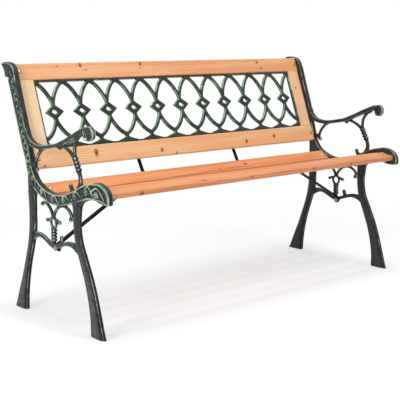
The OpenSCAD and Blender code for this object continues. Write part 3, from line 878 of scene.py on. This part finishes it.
def make_iron():
    material, tree, shader = new_material("antique_green_iron")
    place_at = object_place(tree)
    brush_and_painted_light = place(tree, dry_brush, {"Vector": place_at, "Proud": stored(tree, "proud"),
                                    "Amount": stored(tree, "patina")})
    height = add(tree, "ShaderNodeSeparateXYZ", {0: place_at}).outputs["Z"]
    green = remap(tree, height, DUST_BELOW, GREEN_ABOVE, 0.15, 1.0)
    patches = remap(tree, brush_and_painted_light["Grit"], 0.34, 0.66)
    paint = blend_colour(tree, patches, colour(16, 17, 19), colour(58, 62, 68))
    dust_and_shade = blend_colour(tree, patches, colour(20, 21, 22), colour(102, 108, 106))
    # painted shade: the leg edges and inner faces are darkened to near black
    dust_and_shade = blend_colour(tree, stored(tree, "edge"), dust_and_shade, colour(12, 13, 14))
    paint = blend_colour(tree, green, dust_and_shade, paint)
    field = blend_colour(tree, patches, colour(12, 18, 18), colour(64, 80, 78))
    paint = lay(tree, paint, stored(tree, "ornate"), 0.8, field)
    paint = lay(tree, paint, brush_and_painted_light["Speckle"], 0.30, colour(118, 126, 122))
    # painted shade: the hollows are darkened
    paint = lay(tree, paint, brush_and_painted_light["Hollow"], 0.85, colour(12, 17, 15))
    wash = blend_colour(tree, green, colour(84, 92, 88), colour(80, 104, 84))
    paint = lay(tree, paint, brush_and_painted_light["Wash"], 0.5, wash)
    pale = blend_colour(tree, brush_and_painted_light["Cloud"], colour(148, 186, 144), colour(190, 200, 180))
    pale = blend_colour(tree, green, colour(168, 174, 170), pale)
    paint = lay(tree, paint, brush_and_painted_light["Light"], 0.85, pale)
    feed(tree, shader.inputs["Base Color"], paint)
    rough = maths(tree, "MULTIPLY_ADD", brush_and_painted_light["Grit"], 0.25, 0.28)
    feed(tree, shader.inputs["Roughness"],
         maths(tree, "MULTIPLY_ADD", brush_and_painted_light["Light"], 0.2, rough))
    shader.inputs["Specular IOR Level"].default_value = 0.18
    relief = maths(tree, "MULTIPLY_ADD", brush_and_painted_light["Speckle"], 0.6, brush_and_painted_light["Grit"])
    add_bump(tree, shader, relief, 0.7, 0.0012)
    return material


def dress(piece, material):
    piece.data.materials.clear()
    piece.data.materials.append(material)


iron = make_iron()
for piece in castings:
    dress(piece, iron)
print("iron on", [piece.name for piece in castings])

# %% [markdown]
# ## The moulded lattice
# The lattice is one resin moulding: rows of curved strands that cross into ovals, each
# with a small diamond in its middle. Its front edges are rounded so that it leaves the
# mould. The solid has square edges, so it is remeshed as the castings are, and swollen
# along the back's normal only: that rounds the strands and keeps their outlines. The
# flanks that look to the upper left get a painted highlight, which stays off the border,
# where the lattice lies against the wood.

# %% Lattice
LEAN_DEGREES = 20.2                            # the back's lean from upright
LEAN = math.radians(LEAN_DEGREES)
OUT_OF_BACK = np.array([0.0, -math.cos(LEAN), math.sin(LEAN)])
UP_THE_BACK = np.array([0.0, math.sin(LEAN), math.cos(LEAN)])
# painted highlight: the flanks that look this way are painted lighter
HIGHLIGHT_FROM = np.array([-0.75, -0.25, 0.61])  # the brush caught the flanks that look there
BORDER, BORDER_FADE = 8, 3                     # in mm
STRAND_VOXEL, LATTICE_TRIANGLES = 1.6 * MM, 150000


def to_nearer_end(values):
    """How far each value is from the lowest or the highest one."""
    return np.minimum(values - values.min(), values.max() - values)


def round_lattice():
    piece = piece_from(merged_copy("lattice_panel"), "lattice_grille")
    skin(piece, STRAND_VOXEL)
    smooth_points(piece.data, 2, HALF_WAY)
    swell(piece.data, OUT_OF_BACK, 24, 0.6)
    co, no, _ = point_table(piece.data)
    from_rim = np.minimum(to_nearer_end(co[:, 0]), to_nearer_end(co @ UP_THE_BACK))
    # a painted highlight on the flanks that look to the upper left, added to how proud they stand
    painted_highlight = np.clip(no @ HIGHLIGHT_FROM, 0, 1)
    painted_highlight *= np.clip((from_rim / MM - BORDER) / BORDER_FADE, 0, 1)
    store(piece.data, "proud", bulge(piece.data, 4) / (1.15 * SHARP) + 0.6 * painted_highlight)
    thin(piece, LATTICE_TRIANGLES)
    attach(piece, "root")
    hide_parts("lattice_panel")
    return piece


lattice = round_lattice()

# %% [markdown]
# The resin is coloured all through in a dark green. The same masks as on the iron lay a
# greener wash and a pale green over it; here they are a painted highlight on the ridges and
# on the flanks that look to the upper left. It is smoother than the iron, so it has more
# gloss and less relief.

# %% Resin
def make_resin():
    material, tree, shader = new_material("green_resin")
    brush_and_painted_light = place(tree, dry_brush, {"Vector": object_place(tree),
                                    "Proud": stored(tree, "proud"), "Amount": 0.45})
    paint = blend_colour(tree, brush_and_painted_light["Cloud"], colour(15, 32, 20), colour(32, 54, 36))
    # painted highlight: the wash and the pale green fall on the ridges and on the flanks that
    # look to the upper left
    paint = lay(tree, paint, brush_and_painted_light["Wash"], 0.5, colour(68, 98, 72))
    paint = lay(tree, paint, brush_and_painted_light["Light"], 0.85, colour(160, 194, 162))
    feed(tree, shader.inputs["Base Color"], paint)
    feed(tree, shader.inputs["Roughness"],
         maths(tree, "MULTIPLY_ADD", brush_and_painted_light["Grit"], 0.12, 0.18))
    shader.inputs["Specular IOR Level"].default_value = 0.4
    add_bump(tree, shader, brush_and_painted_light["Grit"], 0.2, 0.0005)
    return material


dress(lattice, make_resin())
print("resin on", lattice.name)

# %% [markdown]
# ## Pine boards
# Sawn pine shows its growth rings: pale early wood, then a darker line of late wood. The
# rings are cylinders round the pith of the tree, which lies below the board's face and
# leans a little, so the face cuts them in long arches. Computing the distance to that
# pith gives the right pattern on the face, the edges and the end grain alike, which a
# picture of wood laid on the board can't do.
#
# A knot is a branch. The rings bend round it, so each knot first pushes the place that is
# looked up sideways, towards the knot's own middle, and then adds its dark spot.

# %% Group: a knot in the grain
def square(tree, value, divide_by):
    return maths(tree, "POWER", maths(tree, "DIVIDE", value, divide_by), 2.0)


def make_knot_group():
    tree, given, out = new_group(
        "pine_knot", [("Place", "vector"), ("Knot", "float"), ("Heart", "float"),
                      ("Centre", "vector"), ("Size", "vector")],
        [("Place", "vector"), ("Knot", "float"), ("Heart", "float")])
    away = vector_maths(tree, "SUBTRACT", given["Place"], given["Centre"])[0]
    away_y = add(tree, "ShaderNodeSeparateXYZ", {0: away}).outputs["Y"]
    away = vector_maths(tree, "DIVIDE", away, given["Size"])[0]
    gap = vector_maths(tree, "LENGTH", away)["Value"]
    gap = broken_up(tree, gap, noise(tree, given["Place"], 190.0, 2.0)[0], 0.7)
    for name, low, high in (("Knot", 1.25, 0.7), ("Heart", 0.65, 0.2)):
        feed(tree, out[name], maths(tree, "MAXIMUM", given[name], remap(tree, gap, low, high)))
    # the rings give way on both sides of the knot, and close again further along the board
    parts = add(tree, "ShaderNodeSeparateXYZ", {0: away}).outputs
    fall = maths(tree, "ADD", square(tree, parts["X"], 3.5), square(tree, parts["Y"], 2.0))
    near = maths(tree, "EXPONENT", maths(tree, "MULTIPLY", fall, -1.0))
    push = maths(tree, "MULTIPLY", maths(tree, "MULTIPLY", away_y, near), -0.85)
    shift = add(tree, "ShaderNodeCombineXYZ", {"Y": push}).outputs[0]
    feed(tree, out["Place"], vector_maths(tree, "ADD", given["Place"], shift)[0])
    return tree


pine_knot = make_knot_group()
print("the knot's group has", len(pine_knot.nodes), "nodes")

# %% [markdown]
# The rings wander a little along the board, as a trunk never grows quite round. Late wood
# sets in slowly within a ring and ends sharply where the next year's early wood begins.
# Two more noises are drawn out along the board: broad streaks of tone, and fine fibres.

# %% Group: growth rings and fibres
def drawn_out(tree, vector, stretch, detail):
    """Noise that changes as fast as stretch says along X, Y and Z, per metre."""
    return noise(tree, vector_maths(tree, "MULTIPLY", vector, stretch)[0], 1.0, detail)


def make_grain_group():
    tree, given, out = new_group(
        "pine_grain", [("Place", "vector"), ("Pith", "vector"), ("Lean", "float"),
                       ("Ring width", "float")],
        [("Late wood", "float"), ("Streak", "float"), ("Fibre", "float")])
    wander = drawn_out(tree, given["Place"], (1.6, 14.0, 14.0), 2.0)["Color"]
    wander = vector_maths(tree, "SUBTRACT", wander, (0.5, 0.5, 0.5))[0]
    wander = vector_maths(tree, "MULTIPLY", wander, (0.0, 0.014, 0.014))[0]
    moved = vector_maths(tree, "ADD", given["Place"], wander)[0]
    moved = vector_maths(tree, "SUBTRACT", moved, given["Pith"])[0]
    parts = add(tree, "ShaderNodeSeparateXYZ", {0: moved}).outputs
    across = add(tree, "ShaderNodeCombineXYZ", {"Y": parts["Y"], "Z": parts["Z"]}).outputs[0]
    radius = vector_maths(tree, "LENGTH", across)["Value"]
    radius = maths(tree, "MULTIPLY_ADD", parts["X"], given["Lean"], radius)
    turn = maths(tree, "FRACT", maths(tree, "DIVIDE", radius, given["Ring width"]))
    late = maths(tree, "MULTIPLY", remap(tree, turn, 0.30, 0.88), remap(tree, turn, 0.98, 0.90))
    streak = drawn_out(tree, given["Place"], (3.0, 60.0, 60.0), 3.0)[0]
    feed(tree, out["Late wood"], late)
    feed(tree, out["Streak"], remap(tree, streak, 0.36, 0.64))
    feed(tree, out["Fibre"], drawn_out(tree, given["Place"], (14.0, 700.0, 700.0), 2.0)[0])
    return tree


pine_grain = make_grain_group()
print("the grain's group has", len(pine_grain.nodes), "nodes")

# %% [markdown]
# Every board gets its own pith, lean and knots, so no two boards look alike. A Mapping
# node brings the surface into the board's own directions: X along it, Y across its face
# and Z out of the face. The pith lies to one side of the board, so its face shows mostly
# straight lines. A knot is a squashed ball: where it is and half its size along, across
# and into the board, in millimetres from the board's middle.

# %% Pine for one board
LATE_WOOD = (0.84, 0.70, 0.56)     # its red, green and blue, as shares of the deep colour


def in_metres(values):
    return tuple(v * MM for v in values)


def turned_by(tree, vector, degrees, **more):
    """Looks a place up in axes that are turned by three angles."""
    angles = tuple(math.radians(d) for d in degrees)
    return add(tree, "ShaderNodeMapping", {"Vector": vector, "Rotation": angles, **more},
               vector_type="TEXTURE").outputs[0]


def make_pine(name, middle, tilt, pith, lean, ring, knots, pale, deep, upright=False):
    """Wood for one piece; the table of the boards below says what the values mean."""
    material, tree, shader = new_material(name)
    spot = turned_by(tree, object_place(tree), (tilt, 0, 0), Location=middle)
    if upright:                    # a stile's grain runs up the back
        spot = turned_by(tree, spot, (0, 0, 90))
    knot, heart = 0.0, 0.0
    for centre, half_size in knots:
        made = place(tree, pine_knot, {"Place": spot, "Knot": knot, "Heart": heart,
                                       "Centre": in_metres(centre),
                                       "Size": in_metres(half_size)})
        spot, knot, heart = made["Place"], made["Knot"], made["Heart"]
    grain = place(tree, pine_grain, {"Place": spot, "Pith": in_metres(pith), "Lean": lean,
                                     "Ring width": ring * MM})
    wood = blend_colour(tree, grain["Streak"], pale, deep)
    late = tuple(v * f for v, f in zip(deep[:3], LATE_WOOD)) + (1.0,)
    wood = lay(tree, wood, grain["Late wood"], 0.62, late)
    wood = lay(tree, wood, grain["Fibre"], 0.26, late)
    if knots:
        branch = blend_colour(tree, grain["Fibre"], colour(206, 122, 72), colour(158, 80, 42))
        wood = lay(tree, wood, knot, 0.85, branch)
        wood = lay(tree, wood, heart, 0.9, colour(112, 46, 20))
    feed(tree, shader.inputs["Base Color"], wood)
    feed(tree, shader.inputs["Roughness"],
         maths(tree, "MULTIPLY_ADD", grain["Fibre"], 0.22, 0.36))
    shader.inputs["Specular IOR Level"].default_value = 0.35
    shader.inputs["Coat Weight"].default_value = 0.08
    shader.inputs["Coat Roughness"].default_value = 0.35
    lift = maths(tree, "MULTIPLY_ADD", grain["Late wood"], 0.6, grain["Fibre"])
    add_bump(tree, shader, lift, 0.25, 0.0004)
    return material


def give(node_name, material):
    """Puts a finish on a CAD node through its object's material slots."""
    for slot in nodes[node_name].material_slots:
        slot.material = material


print("pieces that can take a finish", sum(len(n.material_slots) > 0 for n in nodes.values()))

# %% [markdown]
# The boards came from different planks: the stiles are the palest, the rails a warm
# yellow, and the seat, which takes the sun and the sitting, has turned a deeper orange.
# Three very long and flat "knots" in the rear slat are dark streaks of resin.

# %% The boards
FACE, EDGE = 8, -26                # mm from a board's middle to near its face and edge
FADE = 1.3                         # a knot is drawn this much larger, as its rim fades


def face_knot(along, across, wide, tall):
    """A knot on the board's face; wide and tall are half its size."""
    return (along, across, FACE), (FADE * wide, FADE * tall, 16)


def edge_knot(along, down, wide, tall):
    """A knot on the board's front edge."""
    return (along, EDGE, FACE - down), (FADE * wide, 12, FADE * tall)


BACK_TILT = 90 - LEAN_DEGREES
PALE, DEEP = colour(255, 204, 156), colour(243, 174, 124)
LOW_PALE, LOW_DEEP = colour(255, 222, 174), colour(255, 196, 144)
SEAT_PALE, SEAT_DEEP = colour(241, 170, 116), colour(222, 142, 90)
# the left stile is paler than the right one; part of that is painted light that makes up for the
# shade the post casts on it
LEFT_PALE, LEFT_DEEP = colour(255, 238, 206), colour(255, 220, 178)
RIGHT_PALE, RIGHT_DEEP = colour(255, 228, 186), colour(255, 205, 157)
# tilt in degrees, place of the pith in mm, its lean, ring width in mm, knots, two colours
BOARDS = {
    "back_top_rail": (BACK_TILT, (0, 52, -34), 0.012, 4.6,
                      [face_knot(-367, 17, 4.5, 7), face_knot(-349, 4, 3, 2),
                       face_knot(-136, 17, 4.5, 6), face_knot(-140, 5, 2.5, 2),
                       face_knot(389, 12, 5, 4.5), face_knot(403, -11, 4, 4),
                       face_knot(-451, 14, 2, 2)], PALE, DEEP),
    "back_bottom_rail": (BACK_TILT, (0, -48, -30), -0.014, 5.0,
                         [face_knot(-378, 3, 6.5, 10), face_knot(-127, -9, 4.5, 6),
                          face_knot(-71, -23, 3, 3), face_knot(248, -9, 5, 6.5),
                          face_knot(386, 0, 5, 7), face_knot(-565, -23, 3, 3)],
                         LOW_PALE, LOW_DEEP),
    "seat_slat_1_front": (12, (0, 46, -36), 0.012, 4.4,
                          [edge_knot(-489, 10, 6, 6), edge_knot(-80, 6, 4, 3),
                           edge_knot(190, 6, 6, 3), edge_knot(371, 8, 4, 4),
                           face_knot(-261, -14, 10, 4)], SEAT_PALE, SEAT_DEEP),
    "seat_slat_2": (-15, (0, -44, -30), -0.012, 4.8,
                    [face_knot(-250, 8, 7, 5), face_knot(300, -12, 5, 4)],
                    SEAT_PALE, SEAT_DEEP),
    "seat_slat_3": (-21, (0, 40, -44), 0.013, 4.4,
                    [face_knot(-40, -6, 5, 5), face_knot(420, 10, 7, 5)],
                    SEAT_PALE, SEAT_DEEP),
    "seat_slat_4": (0, (0, -42, -34), -0.012, 4.8,
                    [face_knot(130, 12, 6, 5), face_knot(-330, -4, 6, 6)],
                    SEAT_PALE, SEAT_DEEP),
    "seat_slat_5_rear": (28.9, (0, 44, -36), 0.014, 4.4,
                         [face_knot(186, 1, 9, 5), face_knot(62, -10, 5, 3),
                          face_knot(-80, -21, 80, 2.0), face_knot(40, -17, 70, 2.4),
                          face_knot(150, -12, 50, 2.0)],
                         SEAT_PALE, SEAT_DEEP),
    "back_stile_left": (BACK_TILT, (0, 40, -34), 0.015, 5.6, [], LEFT_PALE, LEFT_DEEP),
    "back_stile_right": (BACK_TILT, (0, -44, -34), -0.015, 4.8, [face_knot(40, 8, 4, 3)],
                         RIGHT_PALE, RIGHT_DEEP),
}
for name, (tilt, pith, lean, ring, knots, pale, deep) in BOARDS.items():
    low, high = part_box(name)
    give(name, make_pine("pine_" + name, (low + high) / 2, tilt, pith, lean, ring, knots,
                         pale, deep, upright="stile" in name))
print("pine boards", len(BOARDS))

# %% [markdown]
# ## Straps, braces and fasteners
# The bent straps and braces are flat steel, dipped in thin black paint. The bolts that
# show have brass-plated domed heads, and their washers and nuts are zinc-plated. One
# group gives all of them the blotches and scratches that handling and weather leave on
# metal; its "Size" is that of a blotch, which suits the size of the piece.

# %% Group: tarnish
def make_tarnish():
    tree, given, out = new_group("tarnish", [("Vector", "vector"), ("Size", "float")],
                                 [("Blotch", "float"), ("Scratch", "float")])
    scale = maths(tree, "DIVIDE", 1.0, given["Size"])
    blotch = noise(tree, given["Vector"], scale, 4.0, 0.6)[0]
    fine = noise(tree, given["Vector"], maths(tree, "MULTIPLY", scale, 12.0), 3.0)[0]
    feed(tree, out["Blotch"], remap(tree, blotch, 0.42, 0.72))
    feed(tree, out["Scratch"], fine)
    return tree


tarnish = make_tarnish()
print("the tarnish group has", len(tarnish.nodes), "nodes")

# %% [markdown]
# Plating is metallic all over: its colour tints the gloss. Paint isn't, and this one is
# old and matt, so it gets little gloss of its own.

# %% The metals
def make_metal(name, clean, worn, metallic, rough, size_mm):
    """Paint or plating that is worn in blotches of that size."""
    material, tree, shader = new_material(name)
    marks = place(tree, tarnish, {"Vector": object_place(tree), "Size": size_mm * MM})
    feed(tree, shader.inputs["Base Color"], blend_colour(tree, marks["Blotch"], clean, worn))
    shader.inputs["Metallic"].default_value = metallic
    if not metallic:
        shader.inputs["Specular IOR Level"].default_value = 0.08
    roughness = maths(tree, "MULTIPLY_ADD", marks["Scratch"], 0.25, rough - 0.1)
    feed(tree, shader.inputs["Roughness"],
         maths(tree, "MULTIPLY_ADD", marks["Blotch"], 0.15, roughness))
    add_bump(tree, shader, marks["Scratch"], 0.2, 0.0003)
    return material


METALS = [
    (make_metal("black_steel", colour(4, 4, 5), colour(14, 14, 14), 0.0, 0.5, 18),
     ("seat_strap_left", "seat_strap_right", "brace_left", "brace_right", "brace_screws",
      "strap_screws")),
    (make_metal("brass_plate", colour(184, 156, 124), colour(122, 96, 74), 1.0, 0.36, 5),
     ("seat_bolts", "back_bolts", "brace_bolts")),
    (make_metal("zinc_plate", colour(186, 190, 194), colour(130, 134, 138), 1.0, 0.36, 4),
     ("seat_washers", "seat_nuts", "back_washers", "back_nuts", "brace_washers",
      "brace_nuts", "lattice_screws")),
]
for metal, names in METALS:
    for name in names:
        give(name, metal)
print("metals on", sum(len(names) for _, names in METALS), "nodes")

# %% [markdown]
# The dowels inside the joints are beech. It is pale and close-grained, and turned rods
# have no knots, so the recipe for pine serves with narrow rings and an empty list.

# %% Dowels
give("stile_dowels", make_pine("beech_dowel", (0, 0, 0), 0, (0, 200, -300), 0.0, 2.0, [],
                               colour(214, 178, 132), colour(196, 156, 108)))
print("finishes", [m.name for m in bpy.data.materials])

# %% [markdown]
# ## Sizes and the end
# The dressed bench must be as big as the imported model, apart from the millimetre that a
# rounded edge loses. Both boxes are written down, so that they can be compared.

# %% Write the sizes and finish
low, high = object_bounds()
print("visual box", [round(v, 4) for v in high - low])
